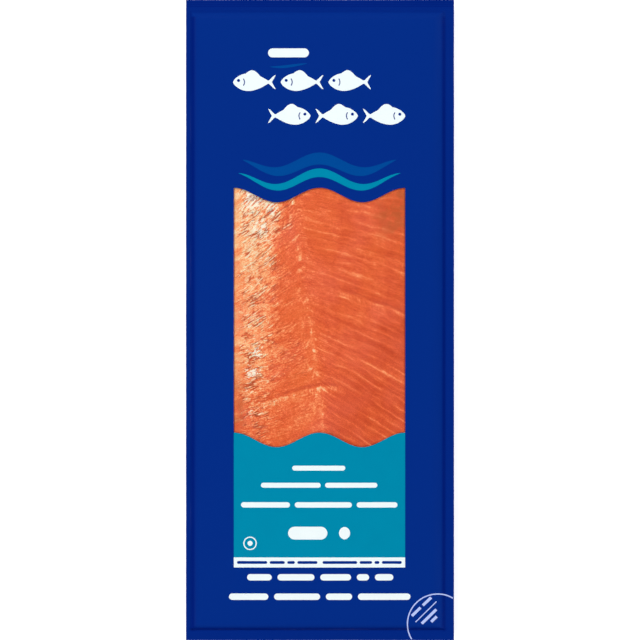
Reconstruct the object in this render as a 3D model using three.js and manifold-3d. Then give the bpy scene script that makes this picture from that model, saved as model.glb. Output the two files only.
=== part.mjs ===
// A pack of sliced smoked salmon: two films heat-sealed round a flat slab of slices, the upper film
// printed all over but for a clear window with wavy ends.
//
// Millimetres. The pack lies on its back on z = 0, print upwards: X runs across it, Y along it
// towards its head, and the origin is under the middle of its outline.

import * as THREE from "three";
import { mergeVertices } from "three/addons/utils/BufferGeometryUtils.js";
import Module from "manifold-3d";

// Driving dimensions
const PACK_WIDTH = 125.5;
const PACK_LENGTH = 300;
const FILM = 0.35; // thickness of one film
const SEAL_GAP = 0.05; // between the two films where they are sealed
const CLEARANCE = 0.3; // between the slices and the film round them

// The flat sealed margin outside the bulge, on each side of the pack
const MARGIN = { left: 1.9, right: 4.0, head: 4.9, foot: 4.8 };
// How far in from the margin the upper film takes to reach the flat top of the bulge
const SLOPE = { left: 3.4, right: 6.8, head: 5.0, foot: 3.1 };
const BACK_SLOPE_SHARE = 0.8; // the lower film turns over this share of those distances

const SEAL_HEIGHT = 4.2; // underside of the sealed margin above the table
const SHOULDER_RISE = 1.4; // upper film above the seal where the slope ends
const CROWN = 2.9; // further rise to the middle of the pack

// Long, low ripples of the sealed margin: height, lengths along and across the pack, and phase
const RIPPLES = [
  { height: 0.28, along: 61, across: 83, phase: 0.4 },
  { height: 0.17, along: 37, across: 29, phase: 2.1 },
];
const RIPPLE_REACH = 4.5; // how far in from the edge they fade out, short of the flat underside

// The clear window, whose head and foot edges are the same wave about these lines
const WINDOW = { left: -40.3, right: 39.8, head: 58.4, foot: -56 };
const WAVE_HEIGHT = 3.4; // from the mean line to a crest
const WAVES = 2; // whole waves across the window
const WAVE_STEPS = 28; // straight pieces in each wavy edge
const PANE_GAP = 0.34; // between the clear pane and the printed film

// The slices lie like shingles, each lapping over the next one towards the foot. Their free edges
// are blunt chevrons that point to the head, with the tip near the seam along the fillet.
const SLICE_PITCH = 23.2;
const SLICE_LAP = 0.6; // step down at the free edge of a slice
const LAP_SHARE = 0.08; // share of the pitch that the step takes
const EDGE_TIP = -29; // where the tip of one free edge lies
const SEAM = { atMiddle: -4.4, lean: -0.124 }; // x = atMiddle + lean * y
const SEAM_DIP = { depth: 0.3, halfWidth: 6 };
const CHEVRON = { pastSeam: 4, left: 0.34, right: 0.37, tipRadius: 9 };
const STRAIGHTENING = 62; // the chevrons straighten over this length at each end of the slab

// Numbers of straight pieces in the grids, and the least length of one in the slab
const SLOPE_STEPS = 5;
const PLATEAU_STEPS = { across: 6, along: 14 };
const SLICE_COLUMNS = 30;
const ROWS_PER_SLICE = 4;
const LEAST_ROW = 0.5;

const clamp01 = (value) => Math.min(1, Math.max(0, value));
const between = (from, to, share) => from + (to - from) * share;

const halfWidth = PACK_WIDTH / 2;
const halfLength = PACK_LENGTH / 2;

// The slab of slices reaches to where the lower film starts to turn up
const slabInset = (name) => MARGIN[name] + SLOPE[name] * BACK_SLOPE_SHARE + FILM + CLEARANCE;
const slab = {
  left: -halfWidth + slabInset("left"),
  right: halfWidth - slabInset("right"),
  foot: -halfLength + slabInset("foot"),
  head: halfLength - slabInset("head"),
};

// 0 on the sealed margin and 1 on the flat of the bulge, for a bulge drawn in by inset all round and
// with its slopes scaled. Each slope is half a parabola, steepest at the margin, and the slopes of
// two sides meet in a mitre.
function bulgeShare(x, y, inset, slopeScale) {
  const fall = (distance, slope) => 1 - clamp01((distance - inset) / (slope * slopeScale));
  const across = Math.max(
    fall(x + halfWidth - MARGIN.left, SLOPE.left),
    fall(halfWidth - MARGIN.right - x, SLOPE.right),
  );
  const along = Math.max(
    fall(halfLength - MARGIN.head - y, SLOPE.head),
    fall(y + halfLength - MARGIN.foot, SLOPE.foot),
  );
  return 1 - Math.max(across, along) ** 2;
}

// Height of the ripples, which fade out towards the bulge
function ripple(x, y) {
  const edge = Math.min(halfWidth - Math.abs(x), halfLength - Math.abs(y));
  const fade = 1 - clamp01(edge / RIPPLE_REACH);
  const heights = RIPPLES.map(
    (wave) => wave.height * Math.sin(2 * Math.PI * (y / wave.along + x / wave.across) + wave.phase),
  );
  return fade * fade * heights.reduce((sum, height) => sum + height, 0);
}

// The four faces of the two films, as heights above the table
function backUnderside(x, y) {
  return SEAL_HEIGHT * (1 - bulgeShare(x, y, 0, BACK_SLOPE_SHARE)) + ripple(x, y);
}

function backInside(x, y) {
  return SEAL_HEIGHT * (1 - bulgeShare(x, y, FILM, BACK_SLOPE_SHARE)) + FILM + ripple(x, y);
}

function frontFace(x, y, inset) {
  const crown = CROWN * (1 - (x / halfWidth) ** 2) * (1 - (y / halfLength) ** 2);
  const seal = SEAL_HEIGHT + 2 * FILM + SEAL_GAP;
  return seal + (SHOULDER_RISE + crown) * bulgeShare(x, y, inset, 1) + ripple(x, y);
}

const frontOutside = (x, y) => frontFace(x, y, 0);
const frontInside = (x, y) => frontFace(x, y, FILM) - FILM;

const fromSeam = (x, y) => x - SEAM.atMiddle - SEAM.lean * y;

// How far the chevron whose tip is at level v has dropped at x
function chevronDrop(x, v) {
  const aside = fromSeam(x, v) - CHEVRON.pastSeam;
  const slope = aside < 0 ? CHEVRON.left : CHEVRON.right;
  const bent = clamp01(Math.min(v - slab.foot, slab.head - v) / STRAIGHTENING);
  return bent * slope * (Math.hypot(aside, CHEVRON.tipRadius) - CHEVRON.tipRadius);
}

// Depth of the slices' upper face under the film, on the chevron whose tip is at level v. Going
// towards the foot it steps down at each free edge and climbs slowly to the next one, and it dips
// along the seam.
function sliceDepth(x, v) {
  const laps = (EDGE_TIP - v) / SLICE_PITCH;
  const share = laps - Math.floor(laps);
  const sunk = share < LAP_SHARE ? share / LAP_SHARE : (1 - share) / (1 - LAP_SHARE);
  const aside = fromSeam(x, v) / SEAM_DIP.halfWidth;
  return SLICE_LAP * sunk + SEAM_DIP.depth * Math.exp(-aside * aside);
}

// Grid lines from one edge of the pack to the other, close together on the two slopes
function filmLines(half, low, high, plateauSteps) {
  const foot = -half + low.margin;
  const top = half - high.margin;
  const lines = [-half, half];
  for (let i = 0; i <= SLOPE_STEPS; i++) {
    lines.push(foot + (low.slope * i) / SLOPE_STEPS, top - (high.slope * i) / SLOPE_STEPS);
  }
  for (let i = 1; i < plateauSteps; i++) {
    lines.push(between(foot + low.slope, top - high.slope, i / plateauSteps));
  }
  return lines.sort((a, b) => a - b);
}

// Levels of the slab's rows: its two ends, and for each slice the head and foot of the step at its
// free edge, with even rows from there to the next slice
function slabLevels() {
  const levels = [slab.foot, slab.head];
  const slices = Math.ceil((slab.head - slab.foot) / SLICE_PITCH);
  for (let slice = -slices; slice <= slices; slice++) {
    for (let row = 0; row < ROWS_PER_SLICE; row++) {
      const share = row === 0 ? 0 : between(LAP_SHARE, 1, (row - 1) / (ROWS_PER_SLICE - 1));
      const level = EDGE_TIP + (slice - share) * SLICE_PITCH;
      if (level > slab.foot + LEAST_ROW && level < slab.head - LEAST_ROW) levels.push(level);
    }
  }
  return levels.sort((a, b) => a - b);
}

// Indices of the vertices round the rim of a grid, anticlockwise seen from above
function rimOf(columns, rows) {
  const at = (i, j) => j * columns + i;
  const rim = [];
  for (let i = 0; i < columns - 1; i++) rim.push(at(i, 0));
  for (let j = 0; j < rows - 1; j++) rim.push(at(columns - 1, j));
  for (let i = columns - 1; i > 0; i--) rim.push(at(i, rows - 1));
  for (let j = rows - 1; j > 0; j--) rim.push(at(0, j));
  return rim;
}

// The faces of a grid of vertices that start at first, facing up, or down if turned over. Each cell
// is cut along the diagonal that points to the middle of the grid, as the mitres do.
function gridFaces(columns, rows, first, turned) {
  const faces = [];
  for (let j = 0; j < rows - 1; j++) {
    for (let i = 0; i < columns - 1; i++) {
      const a = first + j * columns + i;
      const corners = [a, a + 1, a + columns + 1, a + columns];
      const rising = i < columns / 2 === j < rows / 2;
      const [p, q, r, s] = rising ? corners : [...corners.slice(1), a];
      faces.push(...(turned ? [p, r, q, p, s, r] : [p, q, r, p, r, s]));
    }
  }
  return faces;
}

// Side walls between two rims of equal length, the first above the second
function wallFaces(upper, lower) {
  return upper.flatMap((a, i) => {
    const next = (i + 1) % upper.length;
    return [a, lower[i], lower[next], a, lower[next], upper[next]];
  });
}

function geometryOf(points, faces) {
  const geometry = new THREE.BufferGeometry();
  geometry.setAttribute("position", new THREE.Float32BufferAttribute(points.flat(), 3));
  geometry.setIndex(faces);
  return geometry;
}

// A closed sheet between an upper and a lower height over the same grid
function sheet(columns, rows, upper, lower) {
  const over = rows.flatMap((y) => columns.map((x) => [x, y, upper(x, y)]));
  const under = over.map(([x, y]) => [x, y, lower(x, y)]);
  const rim = rimOf(columns.length, rows.length);
  const faces = [
    ...gridFaces(columns.length, rows.length, 0, false),
    ...gridFaces(columns.length, rows.length, over.length, true),
    ...wallFaces(rim, rim.map((v) => v + over.length)),
  ];
  return geometryOf([...over, ...under], faces);
}

// A closed block with an upper face over a grid and a flat underside
function block(columns, levels, upperPoint, floor) {
  const over = levels.flatMap((v) => columns.map((x) => upperPoint(x, v)));
  const rim = rimOf(columns.length, levels.length);
  const foot = rim.map((v) => [over[v][0], over[v][1], floor]);
  const outline = foot.map(([x, y]) => new THREE.Vector2(x, y));
  const base = THREE.ShapeUtils.triangulateShape(outline, []);
  const faces = [
    ...gridFaces(columns.length, levels.length, 0, false),
    ...wallFaces(rim, rim.map((_, i) => i + over.length)),
    ...base.flatMap(([a, b, c]) => [a, c, b].map((v) => v + over.length)),
  ];
  return geometryOf([...over, ...foot], faces);
}

// The window's outline as an upright prism through the pack, drawn in by inset
function windowPrism(inset) {
  const left = WINDOW.left + inset;
  const right = WINDOW.right - inset;
  const wavePoint = (line, i) => {
    const share = i / WAVE_STEPS;
    const rise = WAVE_HEIGHT * Math.cos(2 * Math.PI * WAVES * share);
    return new THREE.Vector2(between(left, right, share), line + rise);
  };
  const steps = Array.from({ length: WAVE_STEPS + 1 }, (_, i) => i);
  const footEdge = steps.map((i) => wavePoint(WINDOW.foot + inset, i));
  const headEdge = steps.map((i) => wavePoint(WINDOW.head - inset, i)).reverse();
  const depth = 2 * (SEAL_HEIGHT + SHOULDER_RISE + CROWN);
  const outline = new THREE.Shape([...footEdge, ...headEdge]);
  return new THREE.ExtrudeGeometry(outline, { depth, bevelEnabled: false });
}

const wasm = await Module();
wasm.setup();

function solidOf(geometry) {
  const bare = geometry.clone();
  bare.deleteAttribute("normal");
  bare.deleteAttribute("uv");
  const merged = mergeVertices(bare, 1e-4);
  return new wasm.Manifold(
    new wasm.Mesh({
      numProp: 3,
      vertProperties: merged.attributes.position.array,
      triVerts: new Uint32Array(merged.index.array),
    }),
  );
}

function geometryOfSolid(solid) {
  const { vertProperties, triVerts } = solid.getMesh();
  const geometry = new THREE.BufferGeometry();
  geometry.setAttribute("position", new THREE.BufferAttribute(vertProperties, 3));
  geometry.setIndex(new THREE.BufferAttribute(triVerts, 1));
  return geometry;
}

function named(name, geometry, material) {
  geometry.computeVertexNormals();
  const mesh = new THREE.Mesh(geometry, new THREE.MeshStandardMaterial(material));
  mesh.name = name;
  return mesh;
}

const printedFilm = { color: 0x042d85, roughness: 0.45, metalness: 0 };
const clearFilm = {
  color: 0xf4f6f6,
  roughness: 0.12,
  metalness: 0,
  transparent: true,
  opacity: 0.25,
};
const salmon = { color: 0xe4673e, roughness: 0.35, metalness: 0 };

const side = (name) => ({ margin: MARGIN[name], slope: SLOPE[name] });
const filmColumns = filmLines(halfWidth, side("left"), side("right"), PLATEAU_STEPS.across);
const filmRows = filmLines(halfLength, side("foot"), side("head"), PLATEAU_STEPS.along);

function makeBackWeb() {
  return named("back_web", sheet(filmColumns, filmRows, backInside, backUnderside), printedFilm);
}

function makeFrontWebAndPane() {
  const whole = solidOf(sheet(filmColumns, filmRows, frontOutside, frontInside));
  const printed = whole.subtract(solidOf(windowPrism(0)));
  const clear = whole.intersect(solidOf(windowPrism(PANE_GAP)));
  return [
    named("front_web", geometryOfSolid(printed), printedFilm),
    named("window_film", geometryOfSolid(clear), clearFilm),
  ];
}

function makeSlices() {
  const columns = Array.from({ length: SLICE_COLUMNS + 1 }, (_, i) =>
    between(slab.left, slab.right, i / SLICE_COLUMNS),
  );
  const upperPoint = (x, v) => {
    const y = v - chevronDrop(x, v);
    return [x, y, frontInside(x, y) - CLEARANCE - sliceDepth(x, v)];
  };
  return named(
    "salmon_slices",
    block(columns, slabLevels(), upperPoint, FILM + CLEARANCE),
    salmon,
  );
}

const pack = new THREE.Group();
pack.add(makeBackWeb(), ...makeFrontWebAndPane(), makeSlices());

export default pack;
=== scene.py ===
"""A flat pack of sliced smoked salmon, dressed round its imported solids.

The pack lies on its back, print upwards: X runs across it, Y along it to its head, Z up. Shapes are
worked out in millimetres, by the formulas that the solids follow, and made in metres.
"""

import bpy
import numpy as np
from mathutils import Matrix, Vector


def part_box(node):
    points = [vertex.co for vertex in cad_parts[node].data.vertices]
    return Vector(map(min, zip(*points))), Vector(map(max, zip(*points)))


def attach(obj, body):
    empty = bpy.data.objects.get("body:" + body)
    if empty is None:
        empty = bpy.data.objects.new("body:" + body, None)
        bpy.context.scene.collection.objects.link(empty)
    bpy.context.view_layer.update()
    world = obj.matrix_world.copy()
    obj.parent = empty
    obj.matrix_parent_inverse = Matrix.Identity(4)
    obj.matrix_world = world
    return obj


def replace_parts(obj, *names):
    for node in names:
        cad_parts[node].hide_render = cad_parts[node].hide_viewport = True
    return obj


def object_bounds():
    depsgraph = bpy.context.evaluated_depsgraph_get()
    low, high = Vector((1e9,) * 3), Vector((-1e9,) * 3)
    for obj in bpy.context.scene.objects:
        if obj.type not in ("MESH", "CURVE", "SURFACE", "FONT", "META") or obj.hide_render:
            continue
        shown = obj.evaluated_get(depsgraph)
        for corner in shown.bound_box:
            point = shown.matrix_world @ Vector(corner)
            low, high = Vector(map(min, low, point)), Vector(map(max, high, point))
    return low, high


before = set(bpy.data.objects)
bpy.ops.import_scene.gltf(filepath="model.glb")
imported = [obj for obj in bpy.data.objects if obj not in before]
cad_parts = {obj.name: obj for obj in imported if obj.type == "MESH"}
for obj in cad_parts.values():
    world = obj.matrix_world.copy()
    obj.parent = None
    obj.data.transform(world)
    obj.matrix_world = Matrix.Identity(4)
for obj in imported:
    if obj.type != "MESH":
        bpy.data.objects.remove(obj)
cad_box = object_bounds()

MM = 0.001
ROOT = "root"

# ---- Sizes, in millimetres ----

pack_size = (np.array(cad_box[1]) - np.array(cad_box[0])) / MM
half_width, half_length = pack_size[0] / 2, pack_size[1] / 2

FILM = 0.35
SEAL_GAP = 0.05  # between the two films on the margin
CLEARANCE = 0.3  # between the slab and the films

MARGIN = {"left": 1.9, "right": 4.0, "head": 4.9, "foot": 4.8}
SLOPE = {"left": 3.4, "right": 6.8, "head": 5.0, "foot": 3.1}
BACK_SLOPE_SHARE = 0.8  # the lower film's slopes are that much as wide

SEAL_HEIGHT = 4.2
SHOULDER_RISE = 1.4
CROWN = 2.9
RIPPLES = ((0.28, 61, 83, 0.4), (0.17, 37, 29, 2.1))  # height, along, across, phase
RIPPLE_REACH = 4.5
SWELL, PLEAT = 0.16, 0.35

WAVE_HEIGHT = 3.4
WAVES = 2
PANE_GAP = 0.34
pane_low, pane_high = (np.array(corner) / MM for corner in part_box("window_film"))
WINDOW = {
    "left": pane_low[0] - PANE_GAP,
    "right": pane_high[0] + PANE_GAP,
    "foot": pane_low[1] - PANE_GAP + WAVE_HEIGHT,
    "head": pane_high[1] + PANE_GAP - WAVE_HEIGHT,
}
WAVE_REACH = 16  # how far from the window's ends the film's grid lines still follow the wave

SLICE_PITCH = 23.2
SLICE_LAP = 0.6
LAP_SHARE = 0.08  # of the pitch, in which a free edge steps down
EDGE_TIP = -29
SEAM_AT_MIDDLE, SEAM_LEAN = -4.4, -0.124
SEAM_DIP = 0.3
SEAM_DIP_HALF = 6
PAST_SEAM = 4  # how far to the right of the seam the chevrons have their tips
CHEVRON_LEFT, CHEVRON_RIGHT, TIP_RADIUS = 0.34, 0.37, 9
STRAIGHTENING = 62

SEAL_TOP = SEAL_HEIGHT + 2 * FILM + SEAL_GAP

PRINT_LIFT = 0.04  # top of the ink over the film
PRINT_ROOT = 0.1  # how far the ink's underside lies below its top


def slab_inset(side):
    """From the pack's edge to the slab: margin, the lower film's slope, its wall and the gap."""
    return MARGIN[side] + SLOPE[side] * BACK_SLOPE_SHARE + FILM + CLEARANCE


SLAB = {
    "left": -half_width + slab_inset("left"),
    "right": half_width - slab_inset("right"),
    "foot": -half_length + slab_inset("foot"),
    "head": half_length - slab_inset("head"),
}

# ---- Fields: functions of x and y in millimetres, on whole arrays ----

LATTICE = 128  # whole steps each way, after which the noise repeats


def ease(t):
    """0 below t = 0 and 1 above t = 1, with a smooth cubic climb between them."""
    t = np.clip(t, 0, 1)
    return t * t * (3 - 2 * t)


def climb(value, start, end):
    """0 where the value is at start, 1 where it is at end, and eased between the two."""
    return ease((value - start) / (end - start))


def bell(t):
    """1 at t = 0, falling off on both sides as the normal curve does."""
    return np.exp(-(t**2))


def lattice_noise(u, v, seed):
    """Smooth random values from 0 to 1: a random number at each whole u and v, eased between."""
    table = np.random.default_rng(seed).random((LATTICE, LATTICE))
    low_u, low_v = np.floor(u).astype(int), np.floor(v).astype(int)
    part_u, part_v = ease(u - low_u), ease(v - low_v)

    def corner(du, dv):
        return table[(low_u + du) % LATTICE, (low_v + dv) % LATTICE]

    near = corner(0, 0) + (corner(1, 0) - corner(0, 0)) * part_u
    far = corner(0, 1) + (corner(1, 1) - corner(0, 1)) * part_u
    return near + (far - near) * part_v


def layered_noise(u, v, seed, layers=3):
    """Lattice noise with finer, weaker layers added, each half the size and half the strength."""
    shares = 0.5 ** np.arange(layers)
    total = sum(
        share * lattice_noise(u / share, v / share, seed + layer)
        for layer, share in enumerate(shares)
    )
    return total / shares.sum()


def inward(x, y):
    """How far in from each side of the pack."""
    across = {"left": x + half_width, "right": half_width - x}
    return {**across, "head": half_length - y, "foot": y + half_length}


def bulge_share(x, y, inset=0.0, slope_scale=1.0):
    """0 on the sealed margin and 1 on the flat of the bulge. Each slope is half a parabola,
    steepest at the margin, and the slopes of two sides meet in a mitre."""
    falls = [
        1 - np.clip((distance - MARGIN[side] - inset) / (SLOPE[side] * slope_scale), 0, 1)
        for side, distance in inward(x, y).items()
    ]
    return 1 - np.max(falls, axis=0) ** 2


def ripple(x, y):
    """Two long sine waves that are strongest at the pack's edge and fade out towards the bulge."""
    edge = np.min([*inward(x, y).values()], axis=0)
    fade = 1 - np.clip(edge / RIPPLE_REACH, 0, 1)
    waves = sum(
        height * np.sin(2 * np.pi * (y / along + x / across) + phase)
        for height, along, across, phase in RIPPLES
    )
    return fade**2 * waves


def film_relief(x, y):
    """How far the upper film leaves its even form: slack swells of a few hundredths over the
    slices, and short pleats across the slopes where the film was drawn down to the seal."""
    share = bulge_share(x, y)
    swells = layered_noise(x / 17, y / 23, seed=11, layers=2) - 0.5
    pleats = layered_noise(x / 5.3, y / 5.3, seed=15, layers=2) - 0.5
    return SWELL * share * swells + PLEAT * share * (1 - share) * pleats


# Painted shade: the dark line along the foot of a slope, where the film turns down to the seal: how
# far in from the margin its middle lies, and its half width. At the head there is none, and it ends
# short of the margin there.
SHADE_LINE_IN = {"left": 1.4, "right": 0.75, "foot": 0.65}
SHADE_LINE_HALF = {"left": 1.15, "right": 0.85, "foot": 0.7}
SHADE_LINE_HEAD_GAP = 7.5


def slope_foot_shade(x, y):
    """0 to 1, how much painted shade: the strongest of three bells about lines along the left,
    right and foot.
    """
    past_margin = {side: inward(x, y)[side] - MARGIN[side] for side in SHADE_LINE_IN}
    bells = [
        bell((distance - SHADE_LINE_IN[side]) / SHADE_LINE_HALF[side])
        for side, distance in past_margin.items()
    ]
    kept = ease(np.min([*past_margin.values()], axis=0) + 1)
    return kept * ease(half_length - SHADE_LINE_HEAD_GAP - y) * np.max(bells, axis=0)


def front_face(x, y, inset):
    """The seal's top, and over it the shoulder and a crown of two parabolas, both as far as the
    bulge goes there, and the ripple."""
    crown = CROWN * (1 - (x / half_width) ** 2) * (1 - (y / half_length) ** 2)
    return SEAL_TOP + (SHOULDER_RISE + crown) * bulge_share(x, y, inset) + ripple(x, y)


def front_outside(x, y):
    """The upper film's printed face: the even face and its relief."""
    return front_face(x, y, 0) + film_relief(x, y)


def front_inside(x, y):
    """The upper film's inner face: one film lower, and its slopes start one film further in."""
    return front_face(x, y, FILM) - FILM + film_relief(x, y)


def back_inside(x, y):
    """The lower film's inner face: from the seal's height down to one film over the table."""
    return SEAL_HEIGHT * (1 - bulge_share(x, y, FILM, BACK_SLOPE_SHARE)) + FILM + ripple(x, y)


def back_underside(x, y):
    """The lower film's outer face: from the seal's height down to the table."""
    return SEAL_HEIGHT * (1 - bulge_share(x, y, 0, BACK_SLOPE_SHARE)) + ripple(x, y)


def window_wave(x):
    """The wave of the window's head and foot: whole cosine waves from its left to its right."""
    share = np.clip((x - WINDOW["left"]) / (WINDOW["right"] - WINDOW["left"]), 0, 1)
    return WAVE_HEIGHT * np.cos(2 * np.pi * WAVES * share)


def from_seam(x, y):
    """How far to the right of the seam, a straight line that leans."""
    return x - SEAM_AT_MIDDLE - SEAM_LEAN * y


def chevron_drop(x, v):
    """How far the chevron whose tip is at level v has dropped at x: a hyperbola's arm, straightened
    towards both ends of the slab."""
    aside = from_seam(x, v) - PAST_SEAM
    slope = np.where(aside < 0, CHEVRON_LEFT, CHEVRON_RIGHT)
    bent = np.clip(np.minimum(v - SLAB["foot"], SLAB["head"] - v) / STRAIGHTENING, 0, 1)
    return bent * slope * (np.hypot(aside, TIP_RADIUS) - TIP_RADIUS)


def laps_below(v):
    """How many slices lie between the free edge at EDGE_TIP and level v: its whole part numbers the
    slice, and its fraction is 0 at that slice's upper edge and 1 at the next one's."""
    return (EDGE_TIP - v) / SLICE_PITCH


def edge_strength(x, v):
    """How far the free edge at the head of each slice stands out, from 0 to 1: one stands out on
    the left and in the middle, another on the right, and the rest are pressed nearly flat."""
    number = np.floor(laps_below(v))
    clear_left = 0.8 * climb(x, -36, -24) * (1 - climb(x, 2, 18))
    clear_right = 0.6 * climb(x, 4, 14)
    return np.select([number == 0, number == -2], [clear_left, clear_right], 0.12)


def slice_depth(x, v):
    """The step down at each free edge, the slow climb from it to the next, and the seam's dip."""
    share = laps_below(v) % 1
    sunk = np.where(share < LAP_SHARE, share / LAP_SHARE, (1 - share) / (1 - LAP_SHARE))
    lap = SLICE_LAP * (0.3 + 0.7 * edge_strength(x, v)) * sunk
    return lap + SEAM_DIP * bell(from_seam(x, v) / SEAM_DIP_HALF)


# Where the film clings and the fish glistens, wet and under painted highlights: x, y, half width,
# half length and strength
WET_PATCHES = (
    (-31.5, 57, 9.5, 13, 0.94),
    (-23, 52, 5, 6, 0.9),
    (-28, 43, 9, 9, 0.82),
    (-23, 28, 6, 6, 0.5),
    (-30, 11, 6, 4, 0.5),
    (-31, 0, 5, 4, 0.6),
    (-30, -15, 5, 5, 0.85),
    (-32, -25, 6, 4.5, 0.95),
    (-33, -32, 6, 2.5, 0.6),
    (-31, -43, 6, 3, 0.7),
    (-17, -20, 12, 10, 0.3),
)


def wetness(x, y):
    """0 to 1: the strongest of the wet patches, each a bell about its middle, over a faint band
    along the left side."""
    band = 0.25 * climb(x, -14, -22)
    bells = [
        strength * bell(np.hypot((x - cx) / rx, (y - cy) / ry))
        for cx, cy, rx, ry, strength in WET_PATCHES
    ]
    return np.maximum(band, np.max(bells, axis=0))


def right_side(x, y):
    """0 to the left of the seam and 1 to the right of it."""
    return climb(from_seam(x, y), -4, 4)


def muscle_level(x, y):
    """Levels whose lines are the fish's muscle layers: arrowheads along the seam whose right arms
    steepen towards the foot, and whose left arms steepen towards the head."""
    aside = from_seam(x, y)
    right = right_side(x, y)
    bend = 2.6 * (layered_noise(x / 12 + 40, y / 9 + 40, seed=31) - 0.5)
    steep_right = 0.41 - 0.0042 * y
    steep_left = 0.52 + 0.0045 * y
    return y + bend + right * steep_right * aside - (1 - right) * steep_left * aside


def crinkle(x, y):
    """-0.5 to 0.5: noise drawn out along the muscle layers."""
    across, along = from_seam(x, y) / 2.4, muscle_level(x, y) / 0.9
    return layered_noise(across + 40, along + 90, seed=22, layers=2) - 0.5


# ---- Meshes ----


def grid_lines(*stops):
    """Grid lines through (place, greatest step from there on) stops, evenly spaced between two."""
    places = [place for place, _ in stops]
    steps = [step for _, step in stops]
    stretches = [
        np.linspace(a, b, int(np.ceil((b - a) / step)), endpoint=False)
        for a, b, step in zip(places, places[1:], steps)
    ]
    return np.concatenate([*stretches, places[-1:]])


def cells_of(index):
    """The four corners of each cell of a grid of point numbers, anticlockwise."""
    return np.stack((index[:-1, :-1], index[:-1, 1:], index[1:, 1:], index[1:, :-1]), -1)


def cut(quads):
    """Each quad as two triangles, cut from its first corner to its third."""
    return np.concatenate((quads[:, [0, 1, 2]], quads[:, [0, 2, 3]]))


def closed_sheet(x, y, top, bottom, keep=None, ring=False):
    """A closed thin body over a grid of points: the grid at the top heights, facing up, the grid at
    the bottom heights, facing down, and a wall along every rim. keep marks the cells that are
    there, so a hole gets walls too. The last column of a ring is its first. Each cell is cut along
    the diagonal that points to the middle of the grid, as the mitres of the bulge do."""
    rows, columns = x.shape
    index = np.arange(rows * columns).reshape(rows, columns)
    if ring:
        index[:, -1] = index[:, 0]
    cells = np.ones((rows - 1, columns - 1), bool) if keep is None else keep
    under = rows * columns
    quads = cells_of(index)
    to_right = np.arange(columns - 1) >= columns / 2
    to_head = np.arange(rows - 1) >= rows / 2
    rising = to_head[:, None] == to_right[None, :]
    upper = cut(np.where(rising[..., None], quads, np.roll(quads, -1, axis=-1))[cells])
    faces = [upper, upper[:, ::-1] + under]
    by_row = np.pad(cells, ((1, 1), (0, 0)))
    by_column = np.pad(cells, ((0, 0), (1, 1)), mode="wrap" if ring else "constant")
    for start, end, kept, beyond in (
        (index[:, :-1], index[:, 1:], by_row[1:], by_row[:-1]),
        (index[:, 1:], index[:, :-1], by_row[:-1], by_row[1:]),
        (index[1:], index[:-1], by_column[:, 1:], by_column[:, :-1]),
        (index[:-1], index[1:], by_column[:, :-1], by_column[:, 1:]),
    ):
        rim = kept & ~beyond
        p, q = start[rim], end[rim]
        faces.append(cut(np.stack((p + under, q + under, q, p), -1)))
    points = np.concatenate(
        [np.stack((x, y, height + 0 * x), -1).reshape(-1, 3) for height in (top, bottom)]
    )
    used, numbers = np.unique(np.concatenate(faces), return_inverse=True)
    return points[used], numbers.reshape(-1, 3)


def joined(sheets):
    """Several sheets as one: their points in turn, with each one's faces counted on."""
    starts = np.cumsum([0] + [len(points) for points, _ in sheets[:-1]])
    points = np.concatenate([points for points, _ in sheets])
    return points, np.concatenate([faces + start for start, (_, faces) in zip(starts, sheets)])


def make_piece(name, points, faces, material, slot, sharp_angle=40):
    """A smooth-shaded object that rides on the pack, in that material; the slot is not used."""
    mesh = bpy.data.meshes.new(name)
    mesh.from_pydata(points * MM, [], faces)
    mesh.update()
    mesh.shade_smooth()
    mesh.set_sharp_from_angle(angle=np.radians(sharp_angle))
    mesh.materials.append(material)
    piece = bpy.data.objects.new(name, mesh)
    bpy.context.scene.collection.objects.link(piece)
    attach(piece, ROOT)
    return piece


def add_values(piece, name, values):
    """A number for each point of the mesh, which a material reads by name."""
    attribute = piece.data.attributes.new(name, "FLOAT", "POINT")
    attribute.data.foreach_set("value", np.ascontiguousarray(values, np.float32))


# ---- Shader graphs ----


class Wire:
    """A socket that carries a number or a vector. Arithmetic on it adds Math nodes."""

    def __init__(self, graph, socket):
        self.graph, self.socket = graph, socket

    def math(self, operation, *others, clamp=False):
        """A Math node whose first value is this one."""
        settings = {"operation": operation, "use_clamp": clamp}
        return self.graph.node("Math", settings, dict(enumerate((self, *others))))

    def __add__(self, other):
        return self.math("ADD", other)

    def __sub__(self, other):
        return self.math("SUBTRACT", other)

    def __rsub__(self, other):
        return self.math("MULTIPLY_ADD", -1.0, other)

    def __mul__(self, other):
        return self.math("MULTIPLY", other)

    def __truediv__(self, other):
        return self.math("DIVIDE", other)

    __radd__ = __add__
    __rmul__ = __mul__

    def clamped(self):
        return self.math("ADD", 0.0, clamp=True)

    def bell(self, reach):
        """1 where the value is 0, falling off on both sides to 0.37 at that reach."""
        scaled = self / reach
        return (scaled * scaled * -1.0).math("EXPONENT")

    def climb(self, low, high):
        """0 below low, 1 above high, eased between them."""
        inputs = {"Value": self, "From Min": low, "From Max": high}
        return self.graph.node("MapRange", {"interpolation_type": "SMOOTHSTEP"}, inputs)


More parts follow.
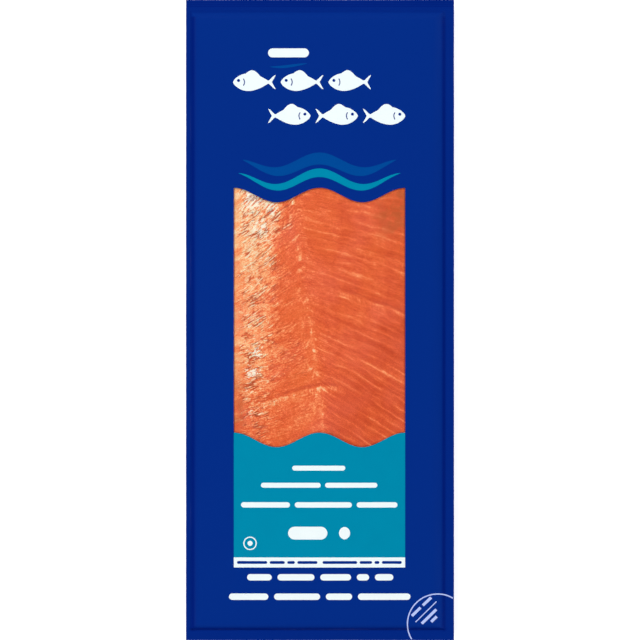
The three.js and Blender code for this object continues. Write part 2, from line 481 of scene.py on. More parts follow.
class Graph:
    """The nodes of one material."""

    def __init__(self, name):
        self.material = bpy.data.materials.new(name)
        self.material.use_nodes = True
        self.tree = self.material.node_tree
        self.tree.nodes.clear()

    def node(self, kind, settings=None, inputs=None, output=0):
        """Adds a node: its settings first, then the values or links of its sockets."""
        made = self.tree.nodes.new("ShaderNode" + kind)
        settings = dict(settings or {})
        for place, colour in settings.pop("stops", ()):
            made.color_ramp.elements.new(place).color = colour
        for name, value in settings.items():
            setattr(made, name, value)
        for key, value in (inputs or {}).items():
            if isinstance(value, Wire):
                self.tree.links.new(value.socket, made.inputs[key])
            else:
                made.inputs[key].default_value = value
        return Wire(self, made.outputs[output])

    def millimetres(self):
        """The place on the piece as a vector, and its x, y and z, all in millimetres."""
        place = self.node("TexCoord", output="Object")
        scaled = {0: place, 1: (1 / MM,) * 3}
        vector = self.node("VectorMath", {"operation": "MULTIPLY"}, scaled)
        return vector, *(self.node("SeparateXYZ", inputs={0: vector}, output=i) for i in range(3))

    def noise(self, vector, size, detail=2.0, roughness=0.5):
        """Noise from 0 to 1 with features of that size in millimetres."""
        inputs = {"Vector": vector, "Scale": 1 / size, "Detail": detail, "Roughness": roughness}
        return self.node("TexNoise", inputs=inputs)

    def flat_noise(self, u, v, seed=0.0, detail=2.0, roughness=0.5):
        """Noise over two values, with features of size 1."""
        plane = self.node("CombineXYZ", inputs={0: u, 1: v, 2: seed})
        return self.noise(plane, 1.0, detail, roughness)

    def mix(self, share, first, second):
        """The first colour where share is 0 and the second where it is 1."""
        return self.node("Mix", {"data_type": "RGBA"}, {0: share, 6: first, 7: second}, output=2)

    def bump(self, height, depth, under=None):
        """A normal tilted by height, where a height of 1 stands depth millimetres proud."""
        inputs = {"Height": height, "Distance": depth * MM, "Strength": 1.0}
        if under is not None:
            inputs["Normal"] = under
        return self.node("Bump", inputs=inputs)

    def ramp(self, value, stops):
        """The colour at value on a smooth scale of (place, colour) stops from 0 to 1."""
        made = self.node("ValToRGB", {"stops": stops[1:-1]}, {"Fac": value})
        ends = made.socket.node.color_ramp.elements
        ends[0].color, ends[len(ends) - 1].color = stops[0][1], stops[-1][1]
        return made

    def attribute(self, name):
        """The number that add_values gave the piece under that name."""
        return self.node("Attribute", {"attribute_name": name}, output="Fac")

    def finished(self, shader):
        """The material, with that shader as its surface."""
        end = self.tree.nodes.new("ShaderNodeOutputMaterial")
        self.tree.links.new(shader.socket, end.inputs["Surface"])
        return self.material

    def principled(self, **inputs):
        """The material, with a Principled shader whose inputs are named with _ for a space."""
        named = {name.replace("_", " "): value for name, value in inputs.items()}
        return self.finished(self.node("BsdfPrincipled", inputs=named))


def linear(red, green, blue, alpha=1.0):
    """The linear colour of a display colour given from 0 to 255."""
    shown = np.array((red, green, blue)) / 255
    light = np.where(shown <= 0.04045, shown / 12.92, ((shown + 0.055) / 1.055) ** 2.4)
    return (*(float(value) for value in light), alpha)


# ---- Finishes ----

FILM_BLUE = linear(4, 44, 132)
SEAL_BLUE = linear(3, 38, 126)
BACK_BLUE = linear(5, 42, 124)
# painted shade, for the line at the foot of a slope and along the ribs
PAINTED_SHADE_BLUE = linear(0, 26, 114)
MID_BLUE = linear(1, 72, 149)
TEAL = linear(0, 137, 171)
INK_WHITE = linear(240, 250, 251)
FILM_GLOSS = 0.07  # specular level of the printed film
RIB_SPACING = 0.94
RIBBED_HEAD = 4.2  # how far from the head the ribs show most


def satin(graph, colour, cloud, normal):
    """The film's satin surface, a touch rougher where the cloud is dense."""
    return graph.principled(
        Base_Color=colour,
        Roughness=0.2 + 0.06 * cloud,
        Specular_IOR_Level=FILM_GLOSS,
        Normal=normal,
    )


def film_material(name, flat_colour):
    """Satin printed film: ink a touch uneven and darker on the sealed margin, with painted shade in
    the line where the slope starts, over a fine orange peel and, on the margin, the ribs of the
    sealing bar, with painted shade along them, which show most at the head. The margin is what lies
    within about 1 mm of the seal's height."""
    graph = Graph(name)
    place, _, y, z = graph.millimetres()
    cloud = graph.noise(place, 26.0, detail=3.0)
    speck = graph.noise(place, 0.7)
    at_head = y.climb(half_length - RIBBED_HEAD, half_length - RIBBED_HEAD + 1)
    sealed = 1 - (z - SEAL_TOP + FILM).math("ABSOLUTE").climb(0.75, 1.3)
    ribs = 0.5 + 0.5 * ((half_length - y) * (2 * np.pi / RIB_SPACING)).math("SINE")
    even = graph.mix(sealed, flat_colour, SEAL_BLUE)
    # painted shade along the ribs of the sealing bar
    rib_shaded = graph.mix(sealed * at_head * ribs * 0.8, even, PAINTED_SHADE_BLUE)
    # painted shade along the foot of each slope
    slope_shaded = graph.mix(graph.attribute("slope_foot_shade") * 0.95, rib_shaded, PAINTED_SHADE_BLUE)
    toned = graph.mix((cloud - 0.35) * 0.3, slope_shaded, SEAL_BLUE)
    colour = graph.mix((speck - 0.5).clamped() * 0.1, toned, MID_BLUE)
    fine = graph.bump(ribs * sealed, 0.02)
    return satin(graph, colour, cloud, graph.bump(graph.noise(place, 1.6), 0.015, fine))


def ink_material(name, colour, darker):
    """Ink on the film: the film's satin surface in the ink's colour, with a faint uneven tone."""
    graph = Graph(name)
    place, _, _, _ = graph.millimetres()
    cloud = graph.noise(place, 9.0, detail=3.0)
    speck = graph.noise(place, 0.5)
    toned = graph.mix((cloud * 0.6 + speck * 0.4 - 0.3).clamped(), colour, darker)
    return satin(graph, toned, cloud, graph.bump(graph.noise(place, 1.6), 0.02))


def pane_material():
    """Clear film: see-through but for its gloss, which grows with the fifth power of the slant from
    both of its faces. Where it clings to the fish it takes on the creases of the muscle layers."""
    graph = Graph("clear_pane_film")
    _, x, y, _ = graph.millimetres()
    aside = x - SEAM_LEAN * y - SEAM_AT_MIDDLE
    level, cling = graph.attribute("level"), graph.attribute("cling")
    creases = graph.flat_noise(aside / 2.0, level / 0.8, seed=21.0)
    normal = graph.bump(creases * (0.04 + cling), 0.08)
    slant = graph.node("LayerWeight", inputs={"Blend": 0.5}, output="Facing")
    shine = 0.03 + 0.97 * slant.math("POWER", 5.0)
    clear = graph.node("BsdfTransparent", inputs={"Color": (1.0, 1.0, 1.0, 1.0)})
    gloss = graph.node("BsdfGlossy", inputs={"Roughness": 0.2, "Normal": normal})
    return graph.finished(graph.node("MixShader", inputs={0: shine, 1: clear, 2: gloss}))


FLESH_SCALE = (
    (0.0, linear(178, 60, 28)),
    (0.2, linear(204, 75, 38)),
    (0.4, linear(221, 91, 50)),
    (0.56, linear(238, 111, 64)),
    (0.72, linear(253, 151, 96)),
    (0.86, linear(255, 196, 141)),
    (1.0, linear(255, 234, 196)),
)
PINK_FLESH = linear(238, 112, 88)
AMBER_FLESH = linear(232, 106, 44)
HIGHLIGHT_CREAM = linear(255, 245, 226)
CREASE_SHADE_BROWN = linear(168, 72, 32)
SMOKED_BROWN = linear(192, 90, 46)
LINE_SPACING = 4.0


def pale_lines(graph, level, aside, spacing, reach, seed):
    """Thin fat lines at each whole spacing of level, wavering a little, each broken into dashes."""
    waver = graph.flat_noise(aside / 11.0, level / 9.0, seed)
    bent = level + 2.4 * (waver - 0.5)
    number = (bent / spacing).math("ROUND")
    dashes = graph.flat_noise(aside / 13.0, number * 5.3, seed)
    return (bent - number * spacing).bell(reach) * dashes.climb(0.36, 0.62)


def salmon_material():
    """Moist smoked fish. One tone from 0 to 1 runs from deep orange flesh to cream fat: soft bands
    and thin broken lines follow the muscle layers, and pale flecks sit on the seam, with a streak
    along its lower part. On the left, coarse crinkles have creases with painted shade, orange
    beside and brown inside, and a painted highlight along one side, and on the wet patches stand
    painted highlights, cream islands ringed with painted shade."""
    graph = Graph("smoked_salmon_flesh")
    place, x, y, _ = graph.millimetres()
    aside = x - SEAM_LEAN * y - SEAM_AT_MIDDLE
    names = ("level", "tone", "coarse", "wet", "brown", "lined", "hatched")
    level, zone_tone, coarse, wet, brown, lined, hatched = map(graph.attribute, names)

    def drawn_out(across, along, **settings):
        """Noise with features that wide across the seam and that high across the layers."""
        return graph.flat_noise(aside / across, level / along, **settings)

    mottle = graph.noise(place, 5.5, detail=4.0, roughness=0.6)
    tint = graph.noise(place, 15.0)
    grain = graph.noise(place, 0.75)
    busy = graph.noise(place, 8.0).climb(0.4, 0.62)
    bands = drawn_out(15.0, 3.2)
    fibre = drawn_out(2.8, 0.72, seed=3.0, detail=3.0, roughness=0.6)
    blot = drawn_out(2.5, 1.2, seed=5.0, detail=3.0, roughness=0.6)
    wander = drawn_out(5.2, 1.3, seed=9.0, detail=1.5)
    presence = drawn_out(5.5, 3.4, seed=7.0).climb(0.45, 0.6)
    hatch = drawn_out(0.6, 5.0, seed=11.0, detail=1.0)
    spots = drawn_out(3.0, 3.8, seed=13.0, detail=3.0, roughness=0.6)

    torn = presence * coarse.climb(0.3, 0.85)
    # painted shade in each crease and beside it, and a painted highlight along one side (rim)
    crease = (wander - 0.5).bell(0.035) * torn
    beside = (wander - 0.5).bell(0.09) * torn
    rim = (wander - 0.6).bell(0.05) * torn
    # painted highlights: cream islands on the wet patches, ringed with painted shade
    spread = blot + 0.29 * wet
    highlight_island = spread.climb(0.7, 0.77) * wet.climb(0.15, 0.35)
    island_shade_outline = (spread - 0.7).bell(0.02) * wet.climb(0.3, 0.5)
    lines = pale_lines(graph, level, aside, LINE_SPACING, 0.6, 15.0)
    finer = pale_lines(graph, level + 1.3, aside, LINE_SPACING * 0.63, 0.4, 17.0)
    flecks = (aside + 1.2).bell(3.6) * spots.climb(0.5, 0.66) * (0.4 + 1.2 * grain)
    runs = graph.flat_noise(0.0, y / 11.0, seed=19.0)
    run = runs.climb(0.4, 0.6).math("MAXIMUM", (-34.0 - y).climb(0.0, 12.0))
    streak = (aside + 0.3).bell(1.0) * run * (12.0 - y).climb(0.0, 20.0)

    tone = zone_tone + (0.4 - 0.3 * coarse) * (mottle + bands - 1.0)
    tone = tone + (0.34 + 0.5 * coarse) * (grain - 0.5)
    tone = tone + (0.3 + coarse) * (0.45 + busy) * (fibre - 0.5)
    # painted highlight and shade of the creases and islands
    tone = tone + 0.34 * rim - 0.28 * beside - 0.3 * island_shade_outline + 0.4 * highlight_island
    tone = tone + 0.26 * flecks + 0.14 * streak
    tone = tone + lined * (0.21 * lines + 0.12 * finer) + hatched * (hatch - 0.3)
    flesh = graph.ramp(tone, FLESH_SCALE)

    pinker = graph.mix((tint - 0.5).clamped() * 1.2, flesh, PINK_FLESH)
    tinted = graph.mix((0.5 - tint).clamped() * 1.8, pinker, AMBER_FLESH)
    # painted highlights on the islands
    highlighted = graph.mix(highlight_island * wet.climb(0.5, 0.9) * fibre.climb(0.3, 0.55), tinted, HIGHLIGHT_CREAM)
    # painted shade in the creases
    crease_shaded = graph.mix(crease * 0.75, highlighted, CREASE_SHADE_BROWN)
    browned = graph.mix(brown * (0.2 + 0.6 * mottle.climb(0.42, 0.58)), crease_shaded, SMOKED_BROWN)
    relief = fibre * 0.6 + rim * 0.5 - crease * 0.6
    return graph.principled(
        Base_Color=browned,
        Roughness=0.36 - 0.14 * wet,
        Specular_IOR_Level=0.3,
        Subsurface_Weight=0.08,
        Subsurface_Radius=(1.0, 0.35, 0.2),
        Subsurface_Scale=0.8 * MM,
        Normal=graph.bump(relief * (0.1 + coarse - 0.6 * coarse * highlight_island), 0.25),
    )


FLOOR_GLOW = 0.52


def floor_material():
    """A pale matt light table with a faint tooth, which glows a little."""
    graph = Graph("studio_light_table")
    place, _, _, _ = graph.millimetres()
    tooth = graph.noise(place, 2.5, detail=3.0)
    return graph.principled(
        Base_Color=graph.mix(tooth * 0.2, linear(250, 250, 250), linear(244, 244, 244)),
        Roughness=0.9,
        Specular_IOR_Level=0.1,
        Emission_Color=(1.0, 1.0, 1.0, 1.0),
        Emission_Strength=FLOOR_GLOW,
    )


# ---- The two films and the pane ----

COARSE, EDGE = 1.5, 0.6  # grid steps on the flat and on the margin
SLOPE_CELLS = 12  # on every slope, so that the mitres run through the corners of cells


def film_lines(half, low, high, flat_step):
    """Grid lines from one side of the pack to the other: fine on its margins and slopes, at the
    flat step between them, with one on each side of the window."""
    return grid_lines(
        (-half, EDGE),
        (-half + MARGIN[low], SLOPE[low] / SLOPE_CELLS),
        (-half + MARGIN[low] + SLOPE[low], flat_step),
        (WINDOW[low], flat_step),
        (WINDOW[high], flat_step),
        (half - MARGIN[high] - SLOPE[high], SLOPE[high] / SLOPE_CELLS),
        (half - MARGIN[high], EDGE),
        (half, EDGE),
    )


def film_grid(flat_step):
    """The columns and the rows of a film's grid."""
    columns = film_lines(half_width, "left", "right", flat_step)
    return columns, film_lines(half_length, "foot", "head", flat_step)


def wavy_grid(columns, rows):
    """The grid of columns and rows, with each row bent to the window's wave, fully at the window's
    head and foot lines and less and less away from them."""
    x, t = np.meshgrid(columns, rows)
    off_line = np.minimum(abs(t - WINDOW["head"]), abs(t - WINDOW["foot"]))
    return x, t + window_wave(x) * ease(1 - off_line / WAVE_REACH)


def make_printed_film(material):
    """The upper film: a closed sheet on the wavy grid, without the cells of the window."""
    columns, rows = film_grid(COARSE)
    x, y = wavy_grid(columns, rows)
    middle_x, middle_t = (columns[1:] + columns[:-1]) / 2, (rows[1:] + rows[:-1]) / 2
    in_columns = (middle_x > WINDOW["left"]) & (middle_x < WINDOW["right"])
    in_rows = (middle_t > WINDOW["foot"]) & (middle_t < WINDOW["head"])
    keep = ~(in_rows[:, None] & in_columns[None, :])
    points, faces = closed_sheet(x, y, front_outside(x, y), front_inside(x, y), keep)
    film = make_piece("printed_film", points, faces, material, "printed_film", sharp_angle=15)
    add_values(film, "slope_foot_shade", slope_foot_shade(points[:, 0], points[:, 1]))
    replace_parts(film, "front_web")


PANE_STEP = 0.7
PANE_CRINKLE = 0.07  # from trough to crest where the film clings most
PANE_RIM = 3  # along which the crinkles die out


def pane_crinkle(x, y):
    """The pane's own relief: crinkles as strong as the film clings, none at the window's rim."""
    rim = np.minimum.reduce(
        (
            x - WINDOW["left"],
            WINDOW["right"] - x,
            y - WINDOW["foot"] - window_wave(x),
            WINDOW["head"] + window_wave(x) - y,
        )
    )
    return PANE_CRINKLE * wetness(x, y) * crinkle(x, y) * ease(rim / PANE_RIM)


def make_pane(material):
    """The clear window: a closed sheet on the wavy grid between the window's sides and lines."""
    columns = grid_lines((WINDOW["left"], PANE_STEP), (WINDOW["right"], PANE_STEP))
    rows = grid_lines((WINDOW["foot"], PANE_STEP), (WINDOW["head"], PANE_STEP))
    x, y = wavy_grid(columns, rows)
    relief = pane_crinkle(x, y)
    points, faces = closed_sheet(x, y, front_outside(x, y) + relief, front_inside(x, y) + relief)
    pane = make_piece("window_pane", points, faces, material, "clear_film")
    add_values(pane, "cling", wetness(points[:, 0], points[:, 1]))
    add_values(pane, "level", muscle_level(points[:, 0], points[:, 1]))
    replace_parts(pane, "window_film")


def make_back_film(material):
    """The lower film: a closed sheet that is flat underneath and turns up to the seal."""
    x, y = np.meshgrid(*film_grid(2 * COARSE))
    sheet = closed_sheet(x, y, back_inside(x, y), back_underside(x, y))
    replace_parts(make_piece("back_film", *sheet, material, "back_film"), "back_web")


# ---- The slices ----

FLESH_STEP = 0.4  # grid step under the window
HIDDEN_STEP = 7.0
PAST_WINDOW = 1  # how far beyond the window the fine grid goes
LEVEL_REACH = 20  # levels above the window that its sides still cut
TOP_CLEARANCE = 0.12  # the film clings to the upper face


def flesh_zones(x, y, v):
    """What each part of the flesh is like, as named values that its material reads: the muscle
    level, the tone and coarseness of its place, and where it is wet, brown, lined or hatched. The
    left is light and coarse as far as a ragged line, lightest in a stripe near its rim, with a
    darker patch at the rim, and the right darkens towards the foot, where the tone steps down at
    the seam.
    The tone holds a painted shadow along each free edge and a painted sheen in a soft band on the
    right."""
    level = muscle_level(x, y)
    aside = from_seam(x, y)
    share = laps_below(v) % 1
    past_edge = climb(share, 0.06, 0.11) * (1 - climb(share, 0.13, 0.27))
    # painted shadow along each free edge
    edge_shadow = 1 - climb(share, 0.04, 0.1) + climb(share, 0.85, 1)
    strength = edge_strength(x, v)
    ragged = layered_noise(aside / 7 + 30, level / 2.6 + 80, seed=51, layers=4) - 0.5
    footward = climb(y, 16, -28)
    light_end = -22.5 + 4.5 * climb(y, 36, 46) + 2.5 * bell((y + 9) / 10) + 13 * ragged
    left = ease((light_end - x) / (7 + 6 * footward) + 0.5)
    light = left * (0.66 * climb(y, -62, -20) + 0.34 * climb(y, 8, 42))
    crinkled_end = -13 + 7 * footward + 12 * ragged
    crinkled = ease((crinkled_end - x) / 7 + 0.5)
    pale_stripe = bell((x + 32) / 4.5) * climb(y, -26, -14) - bell((x + 38.5) / 2.5) * bell((y - 24) / 15)
    calm_rim = ease((x - WINDOW["left"] - 1.4 - 9 * ragged) / 3)
    right = right_side(x, y)
    near_seam = bell(aside / 9)
    step = climb(y, -32, -42) * near_seam * (0.035 - 0.08 * climb(aside, -0.45, 1.05))
    # painted sheen in a soft band on the right
    pressed = bell((v + 16) / 2.4) * climb(x, 8, 16)
    base = 0.55 - right * (0.1 + 0.13 * climb(x - y / 2, 10, 45))
    raised = 0.29 * light + 0.05 * pale_stripe + step + 0.1 * pressed
    rough = 0.36 * crinkled + 0.22 * left + 0.55 * wetness(x, y)
    smoked_head = climb(x + 9 * ragged, 22, 33) * climb(y - 9 * ragged, 35, 47)
    smoked_foot = 0.7 * climb(x, -33.5, -37.5) * climb(y, -24, -34)
    return {
        "level": level,
        "tone": base + raised - 0.18 * strength * edge_shadow,
        "coarse": np.clip(rough * calm_rim + 0.24 * near_seam, 0, 1),
        "wet": wetness(x, y) * calm_rim,
        "brown": smoked_head + smoked_foot,
        "lined": right * (0.7 + 0.4 * climb(x - y / 2, 12, 42)),
        "hatched": 0.85 * strength * past_edge,
    }


def flesh_relief(x, y):
    """How far the flesh sinks below the slab's even face: crinkles that are deepest where it is wet
    and deeper on the left than on the right, and slow swells."""
    left = 1 - right_side(x, y)
    depth = 0.06 + 0.12 * left + 0.22 * wetness(x, y)
    swells = 0.12 * layered_noise(x / 9 + 60, y / 9 + 60, seed=47)
    return (0.5 - crinkle(x, y)) * depth + swells


def slab_lines(low, fine_from, fine_to, high):
    """Grid lines from one side of the slab to the other, fine under the window."""
    fine = (fine_from, FLESH_STEP), (fine_to, HIDDEN_STEP)
    return grid_lines((low, HIDDEN_STEP), *fine, (high, HIDDEN_STEP))


def make_salmon(material):
    """The slab: an upper face on rows that follow the slices' chevrons, side walls and a flat
    underside."""
    fine_left, fine_right = WINDOW["left"] - PAST_WINDOW, WINDOW["right"] + PAST_WINDOW
    fine_foot, fine_head = WINDOW["foot"] - WAVE_HEIGHT - PAST_WINDOW, WINDOW["head"] + LEVEL_REACH
    columns = slab_lines(SLAB["left"], fine_left, fine_right, SLAB["right"])
    levels = slab_lines(SLAB["foot"], fine_foot, fine_head, SLAB["head"])
    x, v = np.meshgrid(columns, levels)
    y = v - chevron_drop(x, v)
    top = front_inside(x, y) - TOP_CLEARANCE - slice_depth(x, v) - flesh_relief(x, y)
    points, faces, carried = slab_mesh(x, y, top, FILM + CLEARANCE)
    salmon = make_piece("salmon_slab", points, faces, material, "salmon", sharp_angle=60)
    for name, values in flesh_zones(x, y, v).items():
        add_values(salmon, name, values.ravel()[carried])
    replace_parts(salmon, "salmon_slices")


def slab_mesh(x, y, top, base):
    """Points and faces of a block with that upper face over one flat many-sided base, and for each
    of its points the number of the upper point that it lies on or under."""
    index = np.arange(x.size).reshape(x.shape)
    rim = np.concatenate((index[0, :-1], index[:-1, -1], index[-1, :0:-1], index[:0:-1, 0]))
    upper = np.stack((x, y, top), -1).reshape(-1, 3)
    lower = upper[rim] * (1, 1, 0) + (0, 0, base)
    below = x.size + np.arange(rim.size)
    quads = cells_of(index).reshape(-1, 4)
    walls = np.stack((below, np.roll(below, -1), np.roll(rim, -1), rim), -1)
    faces = [*quads.tolist(), *walls.tolist(), below[::-1].tolist()]
    return np.concatenate((upper, lower)), faces, np.concatenate((index.ravel(), rim))


# ---- Print: thin sheets of ink that follow the upper film ----

INK_STEP = 2.0
ARC_STEP = 0.8
ROUND_END = np.linspace(0.12, np.pi / 2, 5)  # angles of a round end's columns, from near its tip


def ink(x, y, ring=False):
    """A sheet of ink over a grid of places on the film."""
    top = front_outside(x, y) + PRINT_LIFT
    return closed_sheet(x, y, top, top - PRINT_ROOT, ring=ring)


def make_print(name, sheets, material, slot, over_ink=False):
    """One piece of several sheets of ink, a lift higher where they lie over other ink."""
    points, faces = joined(sheets)
    points[:, 2] += PRINT_LIFT * over_ink
    make_piece(name, points, faces, material, slot)


def field(left, right, lower, upper):
    """Ink between two sides and two curves that give y at x."""
    columns = grid_lines((left, INK_STEP / 2), (right, INK_STEP))
    tallest = np.max(upper(columns) - lower(columns))
    share = np.linspace(0, 1, max(3, int(tallest / INK_STEP) + 2))
    x, t = np.meshgrid(columns, share)
    return ink(x, lower(x) + (upper(x) - lower(x)) * t)


def straight(y):
    """The straight curve at that y."""
    return lambda x: np.full_like(x, y)


def bar(left, right, middle, thickness):
    """Ink in a bar with round ends: its half thickness follows a quarter circle at each end. One as
    long as it is thick is a round dot, whose two middle columns are one."""
    radius = thickness / 2
    quarter = radius * (1 - np.cos(ROUND_END))
    body = grid_lines((left + radius, INK_STEP), (right - radius, INK_STEP))
    ends = left + quarter[:-1], right - quarter[:-1]
    columns = np.unique(np.round(np.concatenate((ends[0], body, ends[1])), 4))
    from_end = np.minimum(np.minimum(columns - left, right - columns), radius)
    half = np.sqrt(radius**2 - (radius - from_end) ** 2)
    x, t = np.meshgrid(columns, np.linspace(-1, 1, 4))
    return ink(x, middle + half * t)


def dot(x, y, width):
    """Ink in a round dot: a bar as long as it is thick."""
    return bar(x - width / 2, x + width / 2, y, width)


def word_row(left, right, middle, thickness, words):
    """Bars for the words of a line: shares of its length, with a gap as wide as the bars' ends."""
    gap = 0.9 * thickness
    shares = np.array(words) / sum(words)
    lengths = shares * (right - left - gap * (len(words) - 1))
    starts = left + np.cumsum([0, *(lengths[:-1] + gap)])
    return [bar(start, start + length, middle, thickness) for start, length in zip(starts, lengths)]


def word_rows(rows):
    """The bars of several lines."""
    return [made for row in rows for made in word_row(*row)]


def arc(centre, radius, thickness, start=0.0, end=360.0):
    """Ink along part of a circle, from one angle to the other in degrees, or all round it."""
    whole = end - start >= 360
    steps = max(16, int(radius * np.radians(end - start) / ARC_STEP))
    angles = np.radians(np.linspace(start, end, steps + 1))
    turn, share = np.meshgrid(angles, np.linspace(1, -1, 3))
    reach = radius + share * thickness / 2
    return ink(centre[0] + reach * np.cos(turn), centre[1] + reach * np.sin(turn), ring=whole)


def slanted_bar(start, end, thickness):
    """Ink in a straight bar from one place to another, with square ends."""
    start, end = np.array(start), np.array(end)
    length = np.hypot(*(end - start))
    way = (end - start) / length
    s, t = np.meshgrid(np.linspace(0, length, int(length) + 2), np.linspace(-0.5, 0.5, 3))
    return ink(
        start[0] + way[0] * s - way[1] * t * thickness,
        start[1] + way[1] * s + way[0] * t * thickness,
    )


def fish(nose, tail, middle, girth):
    """Ink in the shape of a plain fish from nose to tail: a lens of a body that narrows to a stem
    and flares to a notched tail, and a low fin on its back, which leans with the body's height."""
    share = np.linspace(0, 1, 44)
    body = np.sin(np.pi * np.clip(share / 0.86, 0, 1) ** 0.8) ** 0.85
    flare = ease((share - 0.8) / 0.2)
    half = girth / 2 * (np.maximum(body, 0.12 * ease(share / 0.1)) * (1 - flare) + 0.8 * flare)
    fin = 0.2 * girth * np.clip(np.sin(np.pi * np.clip((share - 0.3) / 0.34, 0, 1)), 0, 1)
    along, t = np.meshgrid(nose + (tail - nose) * share, np.linspace(-1, 1, 7))
    t *= np.sign(tail - nose)  # so that the ink faces up whichever way the fish swims
    notch = 0.09 * (tail - nose) * flare * (1 - abs(t))
    return ink(along - notch, middle + half * t + fin * np.clip(t, 0, 1) + 0.02 * t)


def ribbon(left, right, middle, thickest, follow):
    """Ink in a tapered ribbon that rides a share of the window's wave. Its half thickness is a
    power of a sine along it, and its two ends are cut a hair short of their points."""

    def edge(side):
        def curve(x):
            share = np.clip((x - left) / (right - left), 0.004, 0.996)
            half = thickest / 2 * np.sin(np.pi * share) ** 0.7
            return middle + follow * window_wave(x) + side * half

        return curve

    return field(left, right, edge(-1), edge(1))


LABEL_FOOT = -111.0
STRIP_FOOT = -115.7
STRIP_MIDDLE = (LABEL_FOOT + STRIP_FOOT) / 2

# Lines of words: left, right, middle and thickness, and the words' shares of the length
STRIP_WORDS = (
    (-38.8, -1.2, STRIP_MIDDLE, 1.3, (6, 3, 1.5, 4)),
    (1.2, 38.2, STRIP_MIDDLE, 1.3, (7, 2.5, 1, 4)),
)
LABEL_WORDS = (
    (-13, 11.8, -69.2, 2.3, (1,)),
    (-27.6, 26.8, -77.2, 2.3, (8, 7)),
    (-36.9, 36.2, -86.4, 2.5, (6, 7, 5)),
    (-14.9, 14.1, -99.6, 6.0, (7, 2)),
)
FOOT_WORDS = (
    (-34.1, 34.3, -120.3, 3.0, (4, 6, 5, 2, 3)),
    (-42.6, 42.3, -129.4, 3.0, (6, 7, 4, 8)),
)
ROUND_MARK = (-32.7, -104.4)


def make_label(teal, white, blue):
    """The teal field from the window's foot wave down to the white strip, and the strip with small
    dark bars over its ink."""
    sides = WINDOW["left"], WINDOW["right"]
    teal_field = field(*sides, straight(LABEL_FOOT), lambda x: WINDOW["foot"] + window_wave(x))
    strip = field(*sides, straight(STRIP_FOOT), straight(LABEL_FOOT))
    make_print("teal_label_field", [teal_field], teal, "teal_print")
    make_print("white_strip", [strip], white, "white_print")
    make_print("strip_word_bars", word_rows(STRIP_WORDS), blue, "printed_film", over_ink=True)


def make_ribbons(mid_blue, teal):
    """Two tapered ribbons one over the other, which follow the window's head wave, and a small
    ripple near the pack's head."""
    head = WINDOW["head"]
    blue_ribbon = ribbon(-36, 35.5, head + 14, 5.6, 0.9)
    teal_ribbon = ribbon(-38, 37.5, head + 7, 4.0, 1.0)
    small_ripple = ribbon(-23.5, -6, 119.3, 1.3, 0.3)
    make_print("blue_ribbon", [blue_ribbon], mid_blue, "mid_blue_print")
    make_print("teal_ribbon", [teal_ribbon], teal, "teal_print")
    make_print("small_ripple", [small_ripple], mid_blue, "mid_blue_print")


SCHOOL_GAP = 2.3
FISH_GIRTH = 8.2
EYE, EYE_LIFT = 1.4, 0.8
GILL_RADIUS, GILL_LINE, GILL_TURN = 2.6, 0.45, 38  # the last is half of its angle


def school(left, right, middle, count, to_left):
    """A row of fish that all swim one way, and their eyes and gills."""
    length = (right - left - SCHOOL_GAP * (count - 1)) / count
    starts = left + np.arange(count) * (length + SCHOOL_GAP)
    ends = [(start, start + length) if to_left else (start + length, start) for start in starts]
    turn = 0 if to_left else 180
    bodies, eyes = [], []
    for nose, tail in ends:
        gill = nose + 0.14 * (tail - nose), middle
        bodies.append(fish(nose, tail, middle, FISH_GIRTH))
        eyes.append(dot(nose + 0.13 * (tail - nose), middle + EYE_LIFT, EYE))
        eyes.append(arc(gill, GILL_RADIUS, GILL_LINE, turn - GILL_TURN, turn + GILL_TURN))
    return bodies, eyes


def make_head_print(white, blue):
    """Two rows of plain fish over the window, and a rounded bar over them."""
    upper, upper_eyes = school(-40.7, 23.9, 111.2, 3, True)
    lower, lower_eyes = school(-24.3, 39.9, 95.4, 3, False)
    eyes = upper_eyes + lower_eyes
    make_print("fish_school", upper + lower, white, "white_print")
    make_print("fish_eyes_and_gills", eyes, blue, "printed_film", over_ink=True)
    make_print("head_bar", [bar(-24.3, -5.2, 124.9, 4.2)], white, "white_print")


def make_words(white):
    """Lines of bars on the label, with its small round mark, and under the strip."""
    mark = [arc(ROUND_MARK, 2.9, 0.55), dot(*ROUND_MARK, 2.4)]
    on_label = word_rows(LABEL_WORDS) + mark
    make_print("label_word_bars", on_label, white, "white_print", over_ink=True)
    make_print("foot_word_bars", word_rows(FOOT_WORDS), white, "white_print")


OPENING_CENTRE = (54.9, -142.2)
OPENING_RADIUS = 14.0
OPENING_SHORT = 1.5  # degrees by which the ring stops short of the pack's edges
# The line and the bars inside the ring: start, end and thickness
OPENING_BARS = (
    ((44.7, -141.3), (54.5, -131.7), 0.45),
    ((43.0, -138.4), (47.0, -134.5), 1.3),
    ((48.1, -133.5), (52.0, -129.8), 1.3),
    ((47.6, -142.0), (54.4, -135.4), 1.3),
    ((52.0, -141.2), (54.6, -138.7), 1.3),
)


def make_opening_mark(pale):
    """A ring cut off by the pack's edges, with a slanted line and short bars beside it. The ring
    starts and ends where a circle just outside it would meet the edges."""
    reach = OPENING_RADIUS + 0.35
    start = np.degrees(np.arccos((half_width - OPENING_CENTRE[0]) / reach)) + OPENING_SHORT
    foot = np.degrees(np.arcsin((OPENING_CENTRE[1] + half_length) / reach))
    ring = arc(OPENING_CENTRE, OPENING_RADIUS, 0.56, start, 180 + foot - OPENING_SHORT)
    bars = [slanted_bar(*place) for place in OPENING_BARS]
    make_print("opening_mark", [ring, *bars], pale, "white_print")


# ---- The whole pack, the studio and the camera ----


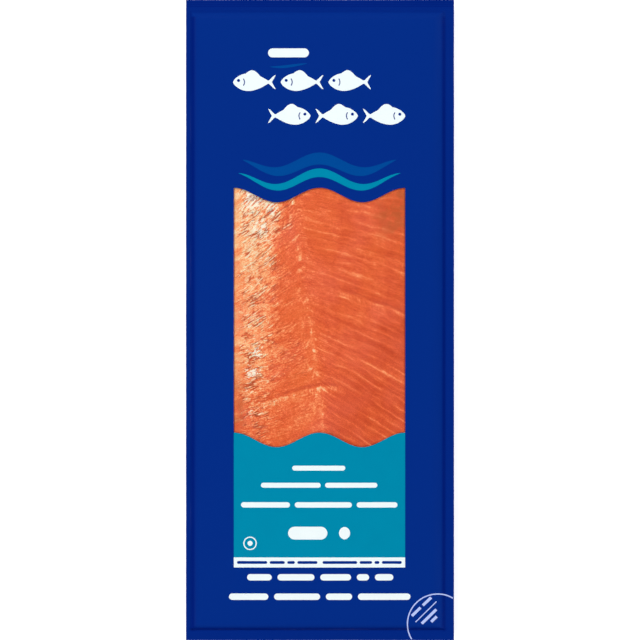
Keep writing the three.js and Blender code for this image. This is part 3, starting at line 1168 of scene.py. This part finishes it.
def make_pack():
    """Every piece of the pack in its material: films, slices and print."""
    blue = film_material("printed_blue_film", FILM_BLUE)
    teal = ink_material("teal_ink", TEAL, linear(0, 128, 164))
    mid_blue = ink_material("mid_blue_ink", MID_BLUE, linear(1, 66, 143))
    white = ink_material("white_ink", INK_WHITE, linear(228, 240, 244))
    make_printed_film(blue)
    make_back_film(film_material("back_blue_film", BACK_BLUE))
    make_pane(pane_material())
    make_salmon(salmon_material())
    make_label(teal, white, blue)
    make_ribbons(mid_blue, teal)
    make_head_print(white, blue)
    make_words(white)
    make_opening_mark(ink_material("pale_blue_ink", linear(186, 200, 248), linear(172, 188, 242)))


def make_floor():
    """A square plane a hair below the pack's flat underside, so that the two share no plane."""
    half, low = 6.0, -0.02 * MM
    mesh = bpy.data.meshes.new("studio_floor")
    corners = [(-half, -half, low), (half, -half, low), (half, half, low), (-half, half, low)]
    mesh.from_pydata(corners, [], [(0, 1, 2, 3)])
    mesh.materials.append(floor_material())
    floor = bpy.data.objects.new("studio_floor", mesh)
    bpy.context.scene.collection.objects.link(floor)


SOFTBOX_DISTANCE = 2.0
SOFTBOX_SIDE = 0.8


def softbox(name, way, share):
    """A square light that faces the pack from that way and gives a level surface that share of
    full white: its power is the share times pi squared times the distance squared over the lift
    of its way."""
    way = np.array(way) / np.linalg.norm(way)
    light = bpy.data.lights.new(name, "AREA")
    light.shape = "SQUARE"
    light.size = SOFTBOX_SIDE
    light.energy = share * np.pi**2 * SOFTBOX_DISTANCE**2 / way[2]
    lamp = bpy.data.objects.new(name, light)
    bpy.context.scene.collection.objects.link(lamp)
    lamp.location = way * SOFTBOX_DISTANCE
    lamp.rotation_mode = "QUATERNION"
    lamp.rotation_quaternion = lamp.location.to_track_quat("Z", "Y")


def make_lights():
    """Four softboxes over the four corners of the pack, so that neither its level film nor the
    slopes along its sides mirror any of them upwards."""
    softbox("head_left_softbox", (-0.5, 0.52, 0.7), 0.385)
    softbox("head_right_softbox", (0.5, 0.54, 0.7), 0.275)
    softbox("foot_left_softbox", (-0.52, -0.5, 0.7), 0.24)
    softbox("foot_right_softbox", (0.52, -0.52, 0.7), 0.2)


def make_studio_air():
    """Pale walls round the floor under a dark ceiling: full strength at the horizon, which fades to
    a small share of it from a third of the way up."""
    world = bpy.data.worlds.new("studio_air")
    world.use_nodes = True
    nodes, links = world.node_tree.nodes, world.node_tree.links
    place = nodes.new("ShaderNodeTexCoord")
    split = nodes.new("ShaderNodeSeparateXYZ")
    fade = nodes.new("ShaderNodeMapRange")
    fade.interpolation_type = "SMOOTHSTEP"
    for name, value in (("From Min", 0.3), ("From Max", 0.75), ("To Min", 0.45), ("To Max", 0.03)):
        fade.inputs[name].default_value = value
    links.new(place.outputs["Generated"], split.inputs[0])
    links.new(split.outputs["Z"], fade.inputs["Value"])
    links.new(fade.outputs[0], nodes["Background"].inputs["Strength"])
    bpy.context.scene.world = world


LENS = 180.0
SENSOR = 36.0
FRAME_SHARE = 0.999  # of the pack's length, between the frame's head and foot


def make_camera():
    """A long lens straight above the pack, which fills the frame's height from head to foot."""
    camera = bpy.data.cameras.new("camera")
    camera.lens = LENS
    camera.sensor_width = SENSOR
    camera.clip_end = 20
    seal = (SEAL_HEIGHT + 2 * FILM) * MM
    height = seal + FRAME_SHARE * half_length * MM * LENS / (SENSOR / 2)
    viewer = bpy.data.objects.new("camera", camera)
    viewer.location = (0, 0, height)
    bpy.context.scene.collection.objects.link(viewer)
    bpy.context.scene.camera = viewer


make_camera()
make_floor()
make_lights()
make_studio_air()
make_pack()
bpy.context.scene.view_settings.view_transform = "Standard"
